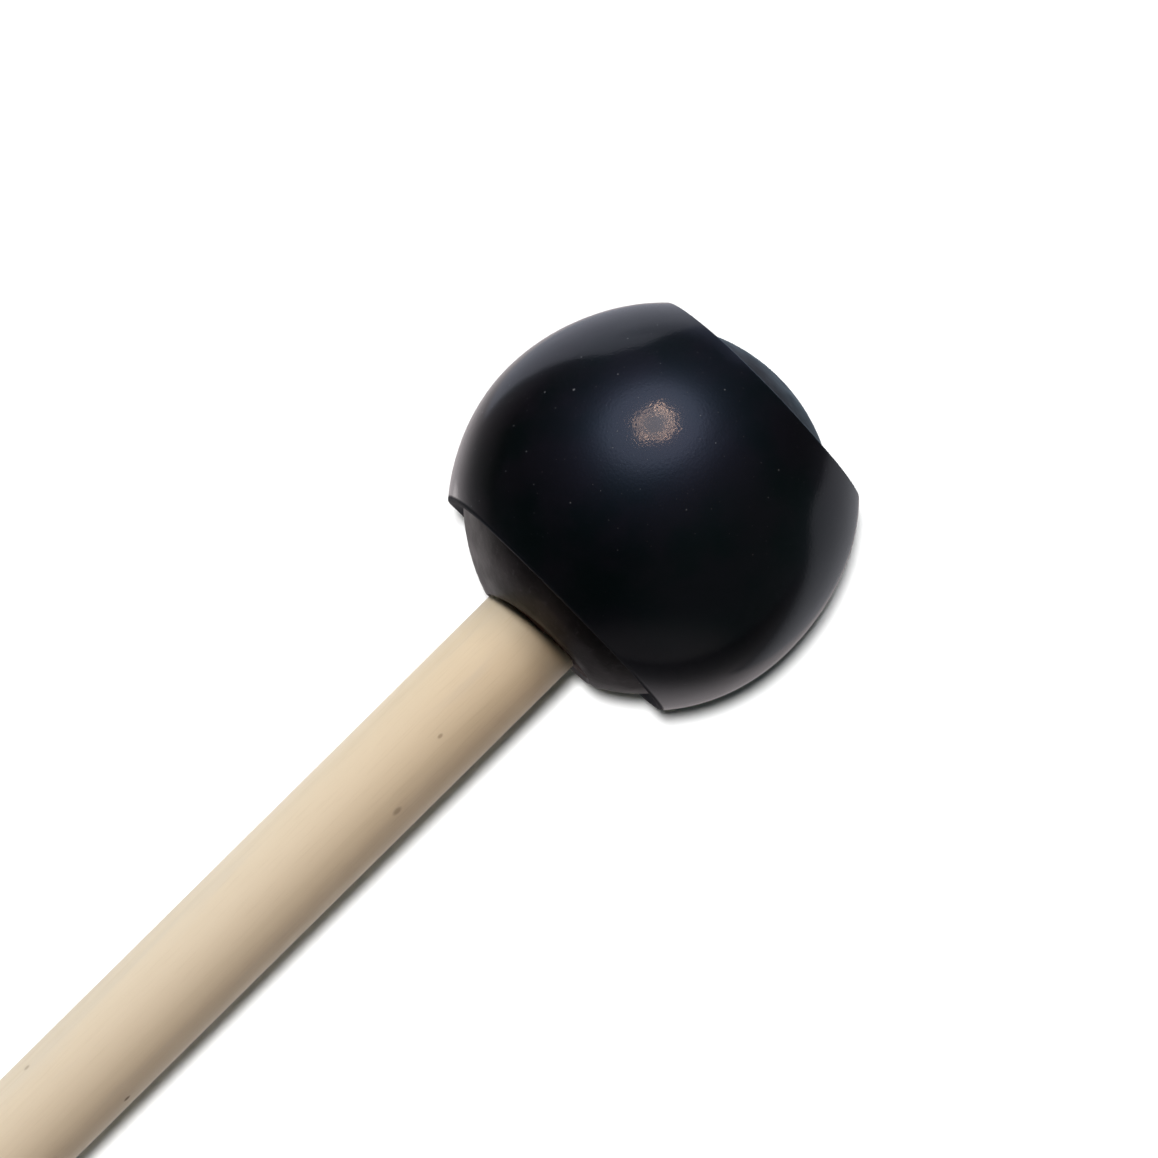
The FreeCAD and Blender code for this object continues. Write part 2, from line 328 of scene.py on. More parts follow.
def ball_form(place, angle):
    """The ball is round, but the mouth of its bore is uneven and follows the shaft."""
    near = nearness(place, NARROWING_REACH)
    on_skin = place.length > BALL_RADIUS - SKIN_DEPTH
    moved = place.copy()
    if near > 0 and math.hypot(place.y, place.z) > BORE_RADIUS + TOUCH:
        share = narrowed(angle, near)
        moved.y *= share
        moved.z *= share
        if on_skin:
            moved *= place.length / moved.length
        moved.x += mouth_shift(angle) * nearness(place, SINK_REACH)
        moved.x += mouth_bow(angle) * nearness(place, BOW_REACH)
    return moved + SHAFT_DRIFT * (near if on_skin else 1)


# The shaft

SHOULDER_DEPTH = 0.7 * MM
DOWEL_WAVE = (4 * MM, 0.03 * MM, 11)
WAVE_STRETCH = 5


def shaft_section():
    """The dowel's outline, from its rounded butt to its chamfered tenon."""
    shoulder = MOUTH_PLACE + SHOULDER_DEPTH
    round_start = (BUTT_END + BUTT_ROUNDING, SHAFT_RADIUS - BUTT_ROUNDING)
    rounding = list(arc(round_start, BUTT_ROUNDING, math.pi, math.pi / 2, steps=14))
    face = [(BUTT_END, 0), (BUTT_END, round_start[1] / 2)]
    side = list(line((round_start[0], SHAFT_RADIUS), (shoulder, SHAFT_RADIUS), steps=220))[1:]
    tenon = [
        (shoulder, SHAFT_RADIUS),
        (shoulder, TENON_RADIUS),
        (TENON_END - TENON_CHAMFER, TENON_RADIUS),
        (TENON_END, TENON_RADIUS - TENON_CHAMFER),
        (TENON_END, 0),
    ]
    return face + rounding + side + tenon


def shaft_form(place, angle):
    """A sanded dowel is not quite round, nor quite even along its length."""
    outward = Vector((0, place.y, place.z)).normalized()
    drawn_out = Vector((place.x / WAVE_STRETCH, place.y, place.z))
    return place + SHAFT_DRIFT + outward * uneven(drawn_out, *DOWEL_WAVE)


# The glue

# It keeps half a touch from its neighbours. Its bead climbs the shaft a little way, dips in the
# mouth's chamfer and ends inside the mouth's edge.
GLUE_GAP = TOUCH / 2
BEAD_CLIMB = 0.03 * MM
BEAD_DIP = 0.2 * MM
BEAD_EDGE = 0.3 * MM
BEAD_REACH = 0.6 * MM
BEAD_WAVES = [(1.6 * MM, 0.1 * MM, 5), (0.5 * MM, 0.04 * MM, 9)]


def glue_section():
    """The glue's outline round the tenon, with the bead that it leaves at the mouth of the bore."""
    bead_foot = (MOUTH_PLACE - BEAD_CLIMB, SHAFT_RADIUS - GLUE_GAP)
    dip = (MOUTH_PLACE + BEAD_DIP, (SHAFT_RADIUS + MOUTH_RADIUS) / 2)
    edge = (MOUTH_PLACE + BEAD_EDGE, MOUTH_RADIUS - BEAD_EDGE)
    inside = [
        (TENON_END + GLUE_GAP, 0),
        (TENON_END + GLUE_GAP, TENON_RADIUS - TENON_CHAMFER),
        (TENON_END - TENON_CHAMFER, TENON_RADIUS + GLUE_GAP),
        (MOUTH_PLACE + GLUE_GAP, TENON_RADIUS + GLUE_GAP),
    ]
    bead = list(line(bead_foot, dip, steps=5)) + list(line(dip, edge, steps=5))
    outside = [
        edge,
        (MOUTH_PLACE + MOUTH_CHAMFER, BORE_RADIUS - GLUE_GAP),
        (BORE_FLOOR, BORE_RADIUS - GLUE_GAP),
        (BORE_POINT - GLUE_GAP, 0),
    ]
    return inside + bead + outside


def glue_form(place, angle):
    """The bead is ragged: it climbs the shaft more in some places than in others."""
    near = nearness(place, BEAD_REACH)
    width = math.hypot(place.y, place.z)
    climb = min(1, 1 - min(1, (width - SHAFT_RADIUS) / (MOUTH_RADIUS - SHAFT_RADIUS)))
    moved = place.copy()
    if width > SHAFT_RADIUS:
        share = narrowed(angle, near)
        moved.y *= share
        moved.z *= share
    if near > 0 and width > TENON_RADIUS + TOUCH:
        shift = mouth_shift(angle) + (joint_shift(angle) - mouth_shift(angle)) * climb
        moved.x += (shift + mouth_bow(angle)) * near
        moved.x += sum(uneven(place, *wave) for wave in BEAD_WAVES) * climb
    return moved + SHAFT_DRIFT


# Materials


def colour(red, green, blue):
    return (red, green, blue, 1)


class Shader:
    """A material's node tree, with short ways to add and join its nodes. Its sizes are in millimetres."""

    def __init__(self, name):
        self.material = bpy.data.materials.new(name)
        self.material.use_nodes = True
        self.tree = self.material.node_tree
        self.surface = self.tree.nodes["Principled BSDF"]
        self.mm = self.vectors("SCALE", self.node("TexCoord").outputs["Object"], scale=1 / MM)

    def node(self, kind):
        return self.tree.nodes.new(f"ShaderNode{kind}")

    def put(self, socket, value):
        """Joins another node's output to a socket, or gives it a plain value."""
        if isinstance(value, bpy.types.NodeSocket):
            self.tree.links.new(value, socket)
        else:
            socket.default_value = value

    def set(self, **values):
        """Sets the surface's own sockets, named with underscores."""
        for name, value in values.items():
            self.put(self.surface.inputs[name.replace("_", " ")], value)

    def numbers(self, operation, first, second=0.0):
        node = self.node("Math")
        node.operation = operation
        self.put(node.inputs[0], first)
        self.put(node.inputs[1], second)
        return node.outputs[0]

    def vectors(self, operation, first, second=None, scale=None):
        node = self.node("VectorMath")
        node.operation = operation
        self.put(node.inputs[0], first)
        if second is not None:
            self.put(node.inputs[1], second)
        if scale is not None:
            self.put(node.inputs["Scale"], scale)
        return node.outputs["Value" if operation in ("LENGTH", "DISTANCE", "DOT_PRODUCT") else "Vector"]

    def part(self, vector, axis):
        """A vector's number along one axis."""
        node = self.node("SeparateXYZ")
        self.put(node.inputs[0], vector)
        return node.outputs[axis]

    def stretched(self, factors, offset=(0, 0, 0)):
        return self.vectors("ADD", self.vectors("MULTIPLY", self.mm, factors), offset)

    def cloud(self, where, size, detail=3.0, rough=0.5, distortion=0.0):
        """Soft noise between zero and one; size is the width of its patches."""
        node = self.node("TexNoise")
        self.put(node.inputs["Vector"], where)
        node.inputs["Scale"].default_value = 1 / size
        node.inputs["Detail"].default_value = detail
        node.inputs["Roughness"].default_value = rough
        node.inputs["Distortion"].default_value = distortion
        return node.outputs["Fac"]

    def spread(self, value, low, high, to_low=0.0, to_high=1.0):
        """Maps a range of a value smoothly onto another one, and holds it there."""
        node = self.node("MapRange")
        node.interpolation_type = "SMOOTHSTEP"
        self.put(node.inputs["Value"], value)
        node.inputs["From Min"].default_value = low
        node.inputs["From Max"].default_value = high
        node.inputs["To Min"].default_value = to_low
        node.inputs["To Max"].default_value = to_high
        return node.outputs["Result"]

    def blend(self, share, first, second, kind="RGBA"):
        """Mixes two colours, or with kind FLOAT two numbers."""
        node = self.node("Mix")
        node.data_type = kind
        self.put(node.inputs["Factor"], share)
        self.put(node.inputs["A"], first)
        self.put(node.inputs["B"], second)
        return node.outputs["Result"]

    def specks(self, size, radius, presence, seed):
        """Scattered soft grains, one at most in a cell of a size: one inside a grain, else zero."""
        cells = self.node("TexVoronoi")
        self.put(cells.inputs["Vector"], self.vectors("ADD", self.mm, (seed, seed * 1.7, seed * 2.3)))
        cells.inputs["Scale"].default_value = 1 / size
        chances = self.node("SeparateColor")
        self.put(chances.inputs[0], cells.outputs["Color"])
        kept = self.numbers("LESS_THAN", chances.outputs["Red"], presence)
        reach = self.numbers("MULTIPLY", chances.outputs["Green"], radius / size)
        inside = self.numbers("SUBTRACT", reach, cells.outputs["Distance"])
        grain = self.numbers("DIVIDE", inside, self.numbers("MULTIPLY", reach, 0.5))
        return self.numbers("MULTIPLY", kept, self.numbers("MINIMUM", self.numbers("MAXIMUM", grain, 0), 1))

    def bump(self, height, depth):
        node = self.node("Bump")
        node.inputs["Strength"].default_value = 1
        node.inputs["Distance"].default_value = depth * MM
        self.put(node.inputs["Height"], height)
        return node.outputs["Normal"]


# The dull cut goes over into the glossy skin within this angle round the corner towards the shaft
CUT_WIDTH = math.radians(1.6)
CUT_DULLNESS = 0.92

# Dust lies on this side of the sleeve, and thins out over these millimetres towards the middle
DUSTY_SIDE = (0.3, 0.6, 0.74)
DUST_REACH = 11


def cut_share(look):
    """One on the sleeve's cut towards the shaft, which follows the longer left, and zero on its skin."""
    outward = look.vectors("NORMALIZE", look.mm)
    to_left = (0, 1 / math.sin(SHAFT_SIDE_ANGLE), 0)
    left = look.numbers("MAXIMUM", look.vectors("DOT_PRODUCT", outward, to_left), 0)
    longer = look.numbers(
        "MULTIPLY", look.numbers("POWER", left, LEFT_FALL), LONG_LEFT * math.sin(SHAFT_SIDE_ANGLE)
    )
    towards_shaft = look.numbers("SUBTRACT", look.vectors("DOT_PRODUCT", outward, (-1, 0, 0)), longer)
    low = math.cos(SHAFT_SIDE_ANGLE + CUT_WIDTH)
    high = math.cos(SHAFT_SIDE_ANGLE + CUT_WIDTH / 2)
    return look.spread(towards_shaft, low, high)


def rubber():
    """Black rubber: a glossy skin over a duller body, with dust on it. Its cut ends are dull."""
    look = Shader("black_rubber")
    green_black = colour(0.0006, 0.0014, 0.0011)
    purple_black = colour(0.0026, 0.0017, 0.0025)
    patches = look.spread(look.cloud(look.mm, size=6, detail=4), 0.38, 0.62)
    body = look.blend(patches, green_black, purple_black)
    upper =look.spread(look.vectors("DOT_PRODUCT", look.mm, DUSTY_SIDE), 0, DUST_REACH, 0.15, 1)
    crumbs = look.numbers(
        "MAXIMUM",
        look.specks(size=1.3, radius=0.14, presence=0.3, seed=4),
        look.specks(size=0.7, radius=0.08, presence=0.4, seed=9),
    )
    fine = look.numbers("MULTIPLY", look.specks(size=0.42, radius=0.06, presence=0.5, seed=15), 0.35)
    dust = look.numbers("MULTIPLY", look.numbers("MAXIMUM", crumbs, fine), upper)
    cut = cut_share(look)
    covered = look.numbers("MAXIMUM", dust, look.numbers("MULTIPLY", cut, CUT_DULLNESS))
    dull = look.spread(look.cloud(look.mm, size=3), 0.3, 0.7, 0.35, 0.4)
    look.set(
        Base_Color=look.blend(dust, body, colour(0.085, 0.09, 0.1)),
        Roughness=look.blend(cut, dull, 0.9, kind="FLOAT"),
        Specular_IOR_Level=0.5,
        Specular_Tint=colour(0.5, 0.65, 1.0),
        Normal=look.bump(look.cloud(look.mm, size=5, detail=1), depth=0.02),
        Coat_Weight=look.numbers("SUBTRACT", 1.0, covered),
        Coat_Roughness=0.1,
        Coat_IOR=1.5,
        Coat_Normal=look.bump(look.cloud(look.mm, size=0.22, detail=2), depth=0.0105),
    )
    return look.material


def plastic():
    """The ball's dark hard plastic: satin, scuffed in blotches, dusty, and darker and browner near the
    joint.
    """
    look = Shader("dark_plastic")
    dark = colour(0.0062, 0.0037, 0.0042)
    light = colour(0.0135, 0.0092, 0.0112)
    scuffed = colour(0.024, 0.020, 0.023)
    near_joint_colour = colour(0.0045, 0.0026, 0.0018)
    joint = tuple(Vector((MOUTH_PLACE, 0, 0)) / MM)
    blotches = look.spread(look.cloud(look.mm, size=3.5, detail=4), 0.4, 0.62)
    scuffs = look.cloud(look.stretched((1, 3, 3)), size=1.6, detail=5, rough=0.65)
    # Darker and browner within 5 to 8 mm of the bore's mouth
    stain = look.spread(look.vectors("DISTANCE", look.mm, joint), 5, 8, 0.75, 0)
    body = look.blend(blotches, dark, light)
    body = look.blend(look.spread(scuffs, 0.52, 0.75), body, scuffed)
    body = look.blend(stain, body, near_joint_colour)
    dust = look.specks(size=1.6, radius=0.09, presence=0.2, seed=2)
    look.set(
        Base_Color=look.blend(dust, body, colour(0.1, 0.1, 0.1)),
        Roughness=look.spread(look.cloud(look.mm, size=2), 0.3, 0.7, 0.28, 0.4),
        Specular_IOR_Level=0.1,
        Normal=look.bump(look.cloud(look.mm, size=0.5, detail=4), depth=0.012),
    )
    return look.material


# Small dark flecks in the wood: place in millimetres, width and depth of colour
WOOD_FLECKS = [
    ((-29.0, -2.86, 3.13), 0.34, 0.5),
    ((-22.9, -1.16, 3.92), 0.2, 0.5),
    ((-61.5, 2.88, 2.33), 0.22, 0.45),
    ((-57.9, -3.9, 1.87), 0.24, 0.9),
]
FLECK_STRETCH = (0.6, 1, 1)

# How far from the ball's middle the painted shade on the wood next to the joint, where the head
# shades the shaft, fades out, and where the wood grows paler towards the butt
PAINTED_SHADE_REACH = (13, 17.2)
PALE_WOOD = (12, 48)


def wood():
    """Pale close-grained hardwood under a satin seal."""
    look = Shader("pale_wood")
    broad = look.cloud(look.stretched((0.03, 1, 1), (7, 3, 1)), size=4, detail=2)
    lines = look.cloud(look.stretched((0.012, 0.9, 0.9)), size=1.4, detail=3, distortion=0.4)
    stain = look.cloud(look.stretched((0.12, 1, 1), (1, 8, 4)), size=2.6, detail=3, distortion=0.6)
    fibres = look.cloud(look.stretched((0.05, 1, 1), (2, 5, 9)), size=0.16, detail=3)
    from_head = look.vectors("DOT_PRODUCT", look.mm, (-1, 0, 0))
    body = look.blend(look.spread(broad, 0.3, 0.7), colour(0.60, 0.50, 0.365), colour(0.64, 0.54, 0.40))
    body = look.blend(look.spread(lines, 0.45, 0.72, 0, 0.5), body, colour(0.53, 0.43, 0.30))
    body = look.blend(look.spread(stain, 0.52, 0.75, 0, 0.45), body, colour(0.50, 0.44, 0.365))
    body = look.blend(look.spread(fibres, 0.5, 0.8, 0, 0.3), body, colour(0.47, 0.37, 0.25))
    # Painted shade: the wood next to the joint is darkened where the head shades the shaft
    body = look.blend(look.spread(from_head, *PAINTED_SHADE_REACH, 0.4, 0), body, colour(0.37, 0.31, 0.23))
    body = look.blend(look.spread(from_head, *PALE_WOOD, 0, 0.3), body, colour(0.68, 0.64, 0.56))
    for spot, width, depth in WOOD_FLECKS:
        beside = look.vectors("MULTIPLY", look.vectors("SUBTRACT", look.mm, spot), FLECK_STRETCH)
        fleck = look.spread(look.vectors("LENGTH", beside), width * 0.3, width, depth, 0)
        body = look.blend(fleck, body, colour(0.16, 0.1, 0.06))
    look.set(
        Base_Color=body,
        Roughness=look.spread(fibres, 0.3, 0.7, 0.42, 0.5),
        Specular_IOR_Level=0.4,
        Normal=look.bump(fibres, depth=0.006),
    )
    return look.material


def glue():
    """Dried dark brown glue."""
    look = Shader("brown_glue")
    dark = colour(0.022, 0.007, 0.0035)
    light = colour(0.046, 0.016, 0.008)
    lumps = look.cloud(look.mm, size=0.8, detail=2)
    look.set(
        Base_Color=look.blend(look.spread(lumps, 0.35, 0.65), dark, light),
        Roughness=look.spread(lumps, 0.3, 0.7, 0.5, 0.65),
        Specular_IOR_Level=0.1,
        Normal=look.bump(lumps, depth=0.03),
    )
    return look.material


# The pieces


def dress(piece, node, material):
    """Lets a piece stand for its solid, on the mallet's one body."""
    piece.data.materials.append(material)
    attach(piece, "root")
    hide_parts(node)
    return piece


shaft = turned_piece("shaft_dowel", shaft_section(), around=128, closed=False, form=shaft_form)
ball = turned_piece("ball_core", ball_section(), around=192, closed=False, form=ball_form)
sleeve = turned_piece("sleeve_band", sleeve_section(), around=256, closed=True, form=sleeve_form)
bead = turned_piece("glue_bead", glue_section(), around=256, closed=False, form=glue_form)
mallet = [
    dress(shaft, "shaft", wood()),
    dress(ball, "core_ball", plastic()),
    dress(sleeve, "rubber_sleeve", rubber()),
    dress(bead, "shaft_glue", glue()),
]


# The camera, from the photograph

PHOTO_WIDTH = 1158
FOCAL_PIXELS = 7200
PIXELS_PER_MM = 13.5
HEAD_PIXEL = (648.1, 508.2)
SHAFT_DIRECTION = math.radians(44.694)
CAMERA_TILT = math.radians(4.5)
SENSOR_WIDTH = 36

towards_camera = Vector((-math.sin(CAMERA_TILT), 0, math.cos(CAMERA_TILT)))
shaft_across_view = Vector((math.cos(CAMERA_TILT), 0, math.sin(CAMERA_TILT)))
side_across_view = Vector((0, 1, 0))
turn_cos = math.cos(SHAFT_DIRECTION)
turn_sin = math.sin(SHAFT_DIRECTION)
PHOTO_RIGHT = shaft_across_view * turn_cos - side_across_view * turn_sin
PHOTO_UP = shaft_across_view * turn_sin + side_across_view * turn_cos


def make_camera():
    """Sees the head at the photograph's pixel, size and angle."""
    data = bpy.data.cameras.new("camera")
    data.sensor_width = SENSOR_WIDTH
    data.lens = SENSOR_WIDTH * FOCAL_PIXELS / PHOTO_WIDTH
    distance = FOCAL_PIXELS / PIXELS_PER_MM * MM
    right_share = (HEAD_PIXEL[0] - PHOTO_WIDTH / 2) / FOCAL_PIXELS
    up_share = (PHOTO_WIDTH / 2 - HEAD_PIXEL[1]) / FOCAL_PIXELS
    camera = bpy.data.objects.new("camera", data)
    camera.matrix_world = Matrix((PHOTO_RIGHT, PHOTO_UP, towards_camera)).transposed().to_4x4()
    camera.matrix_world.translation = (
        HEAD + (towards_camera - PHOTO_RIGHT * right_share - PHOTO_UP * up_share) * distance
    )
    bpy.context.scene.collection.objects.link(camera)
    bpy.context.scene.camera = camera


make_camera()


# The floor and what the pieces mirror


def flat_material(name, tint, strength):
    """A plain even glow."""
    material = bpy.data.materials.new(name)
    material.use_nodes = True
    tree = material.node_tree
    tree.nodes.clear()
    glow = tree.nodes.new("ShaderNodeEmission")
    glow.inputs["Color"].default_value = tint
    glow.inputs["Strength"].default_value = strength
    out = tree.nodes.new("ShaderNodeOutputMaterial")
    tree.links.new(glow.outputs[0], out.inputs["Surface"])
    return material


def graded_material(name, measure, reach, stops, tint, clear=False):
    """A glow whose strength follows stops along a measured value, up to a reach.

    Where it is clear, what is behind it shows through.
    """
    look = Shader(name)
    value, factor = measure(look)
    ramp = look.node("ValToRGB")
    look.put(ramp.inputs[0], look.numbers("DIVIDE", value, reach))
    ramp.color_ramp.interpolation = "B_SPLINE"
    while len(ramp.color_ramp.elements) < len(stops):
        ramp.color_ramp.elements.new(0.5)
    for stop, (place, light) in zip(ramp.color_ramp.elements, stops):
        stop.position = place / reach
        stop.color = colour(light, light, light)
    glow = look.node("Emission")
    look.put(glow.inputs["Color"], tint)
    look.put(glow.inputs["Strength"], look.numbers("MULTIPLY", ramp.outputs[0], factor))
    last = glow.outputs[0]
    if clear:
        both = look.node("AddShader")
        look.put(both.inputs[0], last)
        look.put(both.inputs[1], look.node("BsdfTransparent").outputs[0])
        last = both.outputs[0]
    look.put(look.tree.nodes["Material Output"].inputs["Surface"], last)
    look.tree.nodes.remove(look.surface)
    return look.material


def floor_material():
    """Plain white paper."""
    material = bpy.data.materials.new("floor_paper")
    material.use_nodes = True
    surface = material.node_tree.nodes["Principled BSDF"]
    surface.inputs["Base Color"].default_value = colour(0.8, 0.8, 0.8)
    surface.inputs["Roughness"].default_value = 0.9
    surface.inputs["Specular IOR Level"].default_value = 0.1
    return material


def flat_sheet(name, corners, height, material):
    """A flat sheet on the stage, through corners in metres and at a height in millimetres."""
    data = bpy.data.meshes.new(name)
    data.from_pydata([(x, y, height * MM) for x, y in corners], [], [tuple(range(len(corners)))])
    sheet = bpy.data.objects.new(name, data)
    data.materials.append(material)
    bpy.context.scene.collection.objects.link(sheet)
    return sheet


FLOOR_HALF = 6
FLOOR_CORNERS = [(FLOOR_HALF * x, FLOOR_HALF * y) for x, y in ((-1, -1), (1, -1), (1, 1), (-1, 1))]
floor = flat_sheet("floor", FLOOR_CORNERS, height=-0.02, material=floor_material())
floor.visible_glossy = False


# What the pieces mirror of the paper round them: a bright pool under the mallet, which is weaker
# on its right, and strips that lead away from the head. Azimuths are in degrees, and reaches and
# the places of stops in millimetres.
POOL_REACH = 110
POOL_LIGHT = [
    (0, 0.5), (6, 0.55), (12, 0.55), (16, 0.6), (20, 0.56), (25, 0.34), (31, 0.13), (38, 0.08),
    (48, 0.055), (60, 0.035), (90, 0.0),
]
POOL_RIGHT = 0.6
POOL_RIGHT_WIDENING = 0.75
POOL_CORNERS = 64
RIGHT_AZIMUTH = -50
RIGHT_REACH = 30
RIGHT_LIGHT = [(0, 0.28), (15, 0.28), (19, 0.26), (25, 0.14), (29, 0.0)]
HAZE_AZIMUTH = 17
HAZE_REACH = 40
HAZE_LIGHT = [(0, 0.26), (12, 0.23), (20, 0.12), (30, 0.03), (38, 0.0)]


def strip(azimuth, near, far, half_width):
    """Corners of a pointed paper strip that leads away from the head, given in millimetres."""
    out = Vector((math.cos(math.radians(azimuth)), math.sin(math.radians(azimuth)))) * MM
    side = Vector((-out.y, out.x)) * half_width
    foot = Vector((HEAD.x, HEAD.y))
    return [
        foot + out * near - side,
        foot + out * far - side * 0.75,
        foot + out * (far + half_width * 0.5),
        foot + out * far + side * 0.75,
        foot + out * near + side,
    ]


def pool():
    """Corners of the paper right under the mallet, along its whole length."""
    corners = []
    for step in range(POOL_CORNERS):
        angle = math.tau * step / POOL_CORNERS
        x = math.cos(angle) * POOL_REACH * MM
        end = HEAD.x if x > 0 else HEAD.x + BUTT_END
        corners.append((x + end, math.sin(angle) * POOL_REACH * MM))
    return corners


def from_the_mallet(look):
    """How far the paper is from the mallet's axis, and how much light is on that side."""
    along = look.part(look.mm, "X")
    aside = look.part(look.mm, "Y")
    beyond_butt = look.numbers("MAXIMUM", along, (HEAD.x + BUTT_END) / MM)
    nearest = look.numbers("MINIMUM", beyond_butt, HEAD.x / MM)
    beyond = look.numbers("SUBTRACT", along, nearest)
    square = look.numbers(
        "ADD", look.numbers("MULTIPLY", beyond, beyond), look.numbers("MULTIPLY", aside, aside)
    )
    away = look.numbers("SQRT", square)
    side = look.numbers("DIVIDE", aside, look.numbers("MAXIMUM", away, 1))
    widened = look.numbers("MULTIPLY", away, look.spread(side, -1, 1, POOL_RIGHT_WIDENING, 1))
    return widened, look.spread(side, -1, 1, POOL_RIGHT, 1)


def across(azimuth):
    """Measures how far the paper is from the middle line of a strip."""
    turn = math.radians(azimuth)

    def measure(look):
        away = look.vectors("SUBTRACT", look.mm, tuple(HEAD / MM))
        aside = look.vectors("DOT_PRODUCT", away, (-math.sin(turn), math.cos(turn), 0))
        return look.numbers("ABSOLUTE", aside), 1

    return measure


cards = [
    flat_sheet(
        "card_pool",
        pool(),
        height=0.02,
        material=graded_material(
            "card_pool", from_the_mallet, POOL_REACH, POOL_LIGHT, tint=colour(1, 0.92, 0.94)
        ),
    ),
    flat_sheet(
        "card_upper",
        strip(azimuth=56, near=20, far=160, half_width=23),
        height=0.04,
        material=flat_material("card_upper", tint=colour(0.84, 0.86, 1), strength=0.42),
    ),
    flat_sheet(
        "card_right",
        strip(RIGHT_AZIMUTH, near=20, far=330, half_width=RIGHT_REACH),
        height=0.05,
        material=graded_material(
            "card_right", across(RIGHT_AZIMUTH), RIGHT_REACH, RIGHT_LIGHT, tint=colour(0.92, 0.93, 1)
        ),
    ),
    flat_sheet(
        "card_tip",
        strip(azimuth=0, near=12, far=50, half_width=11),
        height=0.06,
        material=flat_material("card_tip", tint=colour(0.62, 0.8, 1), strength=0.62),
    ),
    flat_sheet(
        "card_haze",
        strip(HAZE_AZIMUTH, near=46, far=400, half_width=HAZE_REACH),
        height=0.04,
        material=graded_material(
            "card_haze", across(HAZE_AZIMUTH), HAZE_REACH, HAZE_LIGHT, tint=colour(0.6, 0.66, 1)
        ),
    ),
    flat_sheet(
        "card_left",
        strip(azimuth=152, near=20, far=44, half_width=11),
        height=0.03,
        material=flat_material("card_left", tint=colour(1, 0.93, 0.93), strength=1.2),
    ),
]


# The key light, up and to the left of the head: a ring of small uneven warm lamps round a dimmer
# middle, with a faint blue glow round it
KEY_DIRECTION = Vector((0.451, 0.509, 0.734)).normalized()
KEY_AWAY = 400 * MM
KEY_MIDDLE_WIDTH = 112 * MM
KEY_MIDDLE_LIGHT = 1.6
KEY_MIDDLE_TINT = (1, 0.82, 0.68)
RING_TINT = (1, 0.64, 0.44)
RING_LAMPS = 32
RING_AHEAD = 5 * MM

# The least and the most of what is drawn for each lamp of the ring: its distance from the middle
# and its width in millimetres, and a factor of its light
LAMP_PLACES = (48, 67)
LAMP_WIDTHS = (8, 17)
LAMP_FACTORS = (0.5, 1.7)

# Bright spots on the ring, as they show in the photograph: where round the ring in degrees,
# anticlockwise from the right, and how much brighter than the rest of it
RING_LIGHT = 6.0
RING_SPOTS = [(20, 34.0), (-5, 20.0), (71, 28.0), (235, 26.0), (309, 20.0), (170, 8.0)]
SPOT_SPREAD = 9

# The glow stands on a cap far round the head. Its stops are angles from the key light's direction,
# in radians, and how bright the glow is there.
GLOW_RADIUS = 700 * MM
GLOW_REACH = math.radians(70)
GLOW_ROWS = 14
GLOW_COLUMNS = 48
GLOW_LIGHT = [
    (0, 2.2), (0.24, 2.2), (0.33, 1.5), (0.4, 0.78), (0.5, 0.36), (0.6, 0.17), (0.75, 0.06),
    (0.95, 0.03), (1.2, 0.0),
]


def from_the_key(look):
    """One less the cosine of the angle from the key light's direction."""
    cosine = look.part(look.vectors("NORMALIZE", look.mm), "Z")
    return look.numbers("SUBTRACT", 1, cosine), 1


def glow_dome():
    """The cap that carries the blue glow round the key light."""
    mesh = bmesh.new()
    top = mesh.verts.new((0, 0, GLOW_RADIUS))
    rings = []
    for row in range(1, GLOW_ROWS + 1):
        angle = GLOW_REACH * row / GLOW_ROWS
        out = GLOW_RADIUS * math.sin(angle)
        height = GLOW_RADIUS * math.cos(angle)
        ring = []
        for step in range(GLOW_COLUMNS):
            turn = math.tau * step / GLOW_COLUMNS
            ring.append(mesh.verts.new((out * math.cos(turn), out * math.sin(turn), height)))
        rings.append(ring)
    for step in range(GLOW_COLUMNS):
        after = (step + 1) % GLOW_COLUMNS
        mesh.faces.new((top, rings[0][step], rings[0][after]))
        for ring, other in zip(rings, rings[1:]):
            mesh.faces.new((ring[step], other[step], other[after], ring[after]))
    data = bpy.data.meshes.new("glow_dome")
    mesh.to_mesh(data)
    mesh.free()
    dome = bpy.data.objects.new("glow_dome", data)
    turned = KEY_DIRECTION.to_track_quat("Z", "Y").to_matrix().to_4x4()
    dome.matrix_world = Matrix.Translation(HEAD) @ turned
    stops = [(1 - math.cos(angle), light) for angle, light in GLOW_LIGHT]
    reach = stops[-1][0]
    data.materials.append(
        graded_material("glow_dome", from_the_key, reach, stops, tint=colour(0.64, 0.74, 1), clear=True)
    )
    bpy.context.scene.collection.objects.link(dome)
    return dome


# The strips and the glow show in the pieces' reflections alone
cards.append(glow_dome())
for card in cards:
    card.visible_camera = False
    card.visible_diffuse = False
    card.visible_shadow = False
    card.visible_transmission = False


# Lights


def only_for(light, receivers):
    """Lets a light fall on the given objects only."""
    group = bpy.data.collections.new(f"lit_by_{light.name}")
    for item in receivers:
        group.objects.link(item)
    light.light_linking.receiver_collection = group


def aim(item, place, target):
    """Puts an object at a place, with its -z axis towards the target."""
    turn = (Vector(target) - Vector(place)).to_track_quat("-Z", "Y")
    item.matrix_world = Matrix.Translation(place) @ turn.to_matrix().to_4x4()


def disc_light(name, place, width, brightness, tint, glossy):
    """A round light on the head. Its power follows from how bright its face is to look at."""
    data = bpy.data.lights.new(name, "AREA")
    data.shape = "DISK"
    data.size = width
    area = math.pi * width**2 / 4
    data.energy = brightness * area * math.pi
    data.color = tint
    light = bpy.data.objects.new(name, data)
    aim(light, place, HEAD)
    light.visible_camera = False
    light.visible_glossy = glossy
    light.visible_diffuse = not glossy
    bpy.context.scene.collection.objects.link(light)
    return light


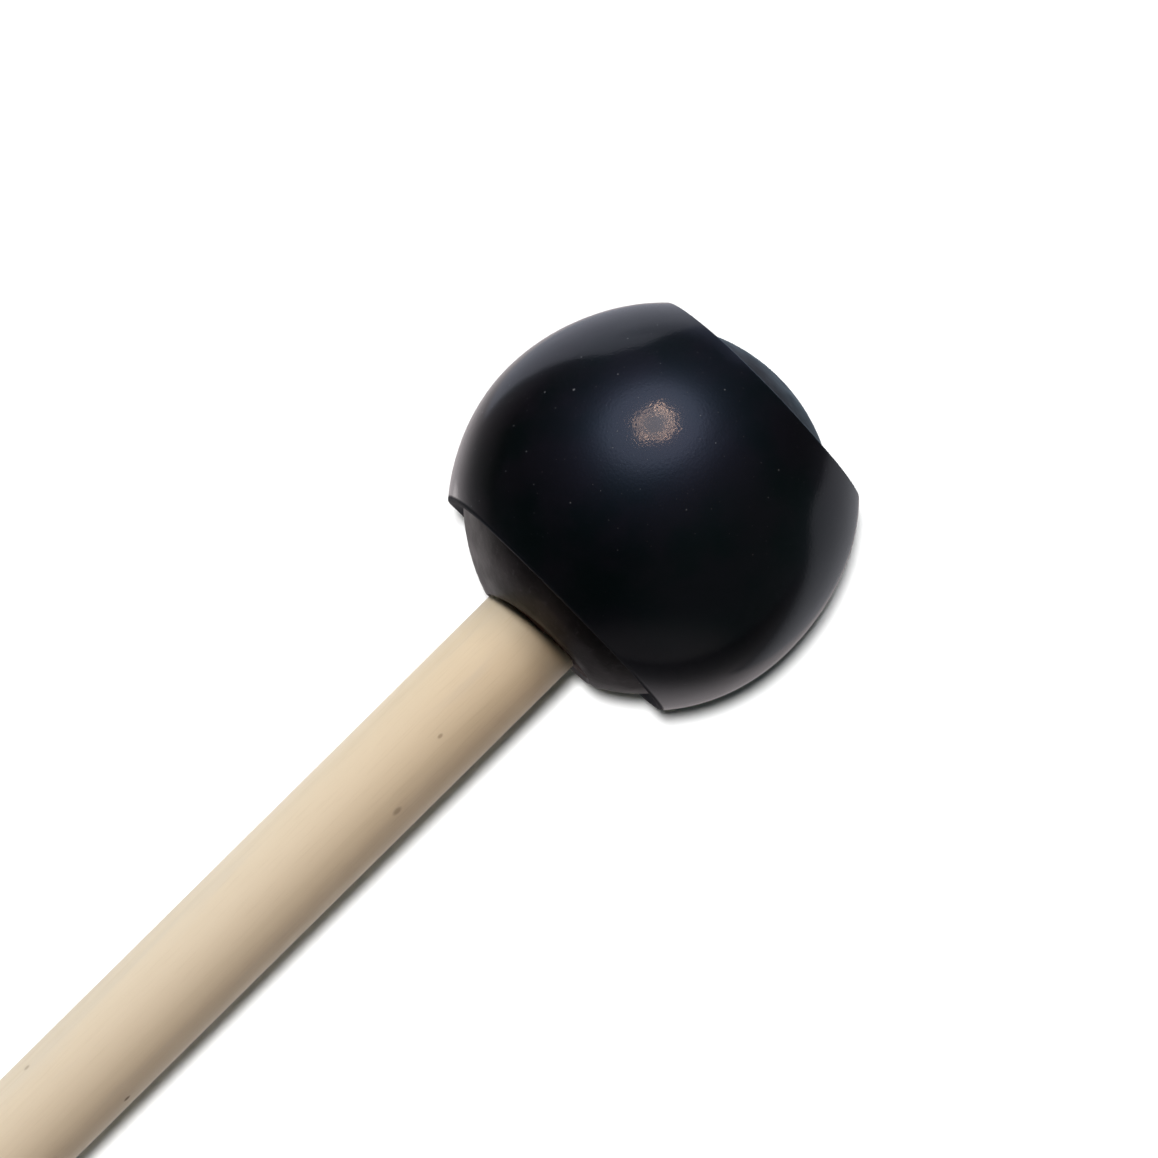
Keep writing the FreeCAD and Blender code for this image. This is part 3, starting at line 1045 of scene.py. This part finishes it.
def ring_light(offset):
    """How bright the key light's ring is to look at, towards one side of its middle."""
    shown = math.degrees(math.atan2(offset.dot(PHOTO_UP), offset.dot(PHOTO_RIGHT)))
    light = RING_LIGHT
    for place, extra in RING_SPOTS:
        gap = (shown - place + 180) % 360 - 180
        light += extra * math.exp(-((gap / SPOT_SPREAD) ** 2))
    return light


def make_key():
    """The key light's lamps, which the pieces mirror."""
    place = HEAD + KEY_DIRECTION * KEY_AWAY
    side = KEY_DIRECTION.cross(Vector((0, 0, 1))).normalized()
    other = side.cross(KEY_DIRECTION)
    lamps = [disc_light("key_middle", place, KEY_MIDDLE_WIDTH, KEY_MIDDLE_LIGHT, KEY_MIDDLE_TINT, True)]
    draws = random.Random(4)
    for step in range(RING_LAMPS):
        angle = math.tau * step / RING_LAMPS
        reach = draws.uniform(*LAMP_PLACES) * MM
        width = draws.uniform(*LAMP_WIDTHS) * MM
        offset = (side * math.cos(angle) + other * math.sin(angle)) * reach
        spot = place + offset - KEY_DIRECTION * RING_AHEAD
        brightness = ring_light(offset) * draws.uniform(*LAMP_FACTORS)
        lamps.append(disc_light(f"key_lamp_{step}", spot, width, brightness, RING_TINT, True))
    return lamps


# Soft light that the pieces don't mirror: cool from the left, and weaker and warm from above
SOFT_WIDTH = 500 * MM
SOFT_AWAY = 950 * MM
SOFT_LIGHTS = {
    "soft_left": ((0.28, 0.605, 0.795), 18.6, (0.985, 1, 0.995)),
    "soft_above": ((0.35, -0.17, 0.984), 4.5, (1, 0.62, 0.33)),
}


def make_soft_light(name):
    direction, brightness, tint = SOFT_LIGHTS[name]
    place = HEAD + Vector(direction) * SOFT_AWAY
    return disc_light(name, place, SOFT_WIDTH, brightness, tint, glossy=False)


for lamp in make_key() + [make_soft_light(name) for name in SOFT_LIGHTS]:
    only_for(lamp, mallet)

SUN_DIRECTION = Vector((-0.049, 0.077, 1))
SUN_STRENGTH = 4.6
SUN_WIDTH = math.radians(5)


def make_sun():
    """Light from almost overhead that falls on the floor and leaves a narrow soft shadow."""
    data = bpy.data.lights.new("overhead", "SUN")
    data.energy = SUN_STRENGTH
    data.angle = SUN_WIDTH
    sun = bpy.data.objects.new("overhead", data)
    aim(sun, SUN_DIRECTION, (0, 0, 0))
    sun.visible_glossy = False
    bpy.context.scene.collection.objects.link(sun)
    return sun


only_for(make_sun(), [floor])


# The room that the pieces mirror, dim and bluish: parts of it that are a little brighter, each
# with its direction, how near a direction must come to it, its tint and its strength
ROOM_TINT = colour(0.6, 0.92, 1)
ROOM_LIGHT = 0.018
ROOM_PARTS = [
    ((0.1, -0.86, 0.5), (0.4, 0.95), colour(0.75, 1, 0.92), 0.033),
    ((-0.66, -0.73, -0.14), (0.8, 0.98), colour(1, 0.84, 0.84), 0.1),
]


def make_world():
    """Pale to the camera, and as a light the dim room."""
    world = bpy.data.worlds.new("studio")
    world.use_nodes = True
    tree = world.node_tree
    tree.nodes.clear()
    where = tree.nodes.new("ShaderNodeTexCoord").outputs["Generated"]

    def background(tint, strength=1.0):
        node = tree.nodes.new("ShaderNodeBackground")
        node.inputs["Color"].default_value = tint
        node.inputs["Strength"].default_value = strength
        return node

    room = background(ROOM_TINT, ROOM_LIGHT).outputs[0]
    for direction, (far, near), tint, strength in ROOM_PARTS:
        towards = tree.nodes.new("ShaderNodeVectorMath")
        towards.operation = "DOT_PRODUCT"
        towards.inputs[1].default_value = Vector(direction).normalized()
        tree.links.new(where, towards.inputs[0])
        share = tree.nodes.new("ShaderNodeMapRange")
        share.interpolation_type = "SMOOTHSTEP"
        share.inputs["From Min"].default_value = far
        share.inputs["From Max"].default_value = near
        share.inputs["To Max"].default_value = strength
        tree.links.new(towards.outputs["Value"], share.inputs["Value"])
        part = background(tint)
        tree.links.new(share.outputs["Result"], part.inputs["Strength"])
        both = tree.nodes.new("ShaderNodeAddShader")
        tree.links.new(room, both.inputs[0])
        tree.links.new(part.outputs[0], both.inputs[1])
        room = both.outputs[0]
    pale = background(colour(1, 1, 1))
    path = tree.nodes.new("ShaderNodeLightPath")
    mix = tree.nodes.new("ShaderNodeMixShader")
    out = tree.nodes.new("ShaderNodeOutputWorld")
    tree.links.new(path.outputs["Is Camera Ray"], mix.inputs[0])
    tree.links.new(room, mix.inputs[1])
    tree.links.new(pale.outputs[0], mix.inputs[2])
    tree.links.new(mix.outputs[0], out.inputs["Surface"])
    bpy.context.scene.world = world


make_world()
bpy.context.scene.view_settings.view_transform = "Standard"
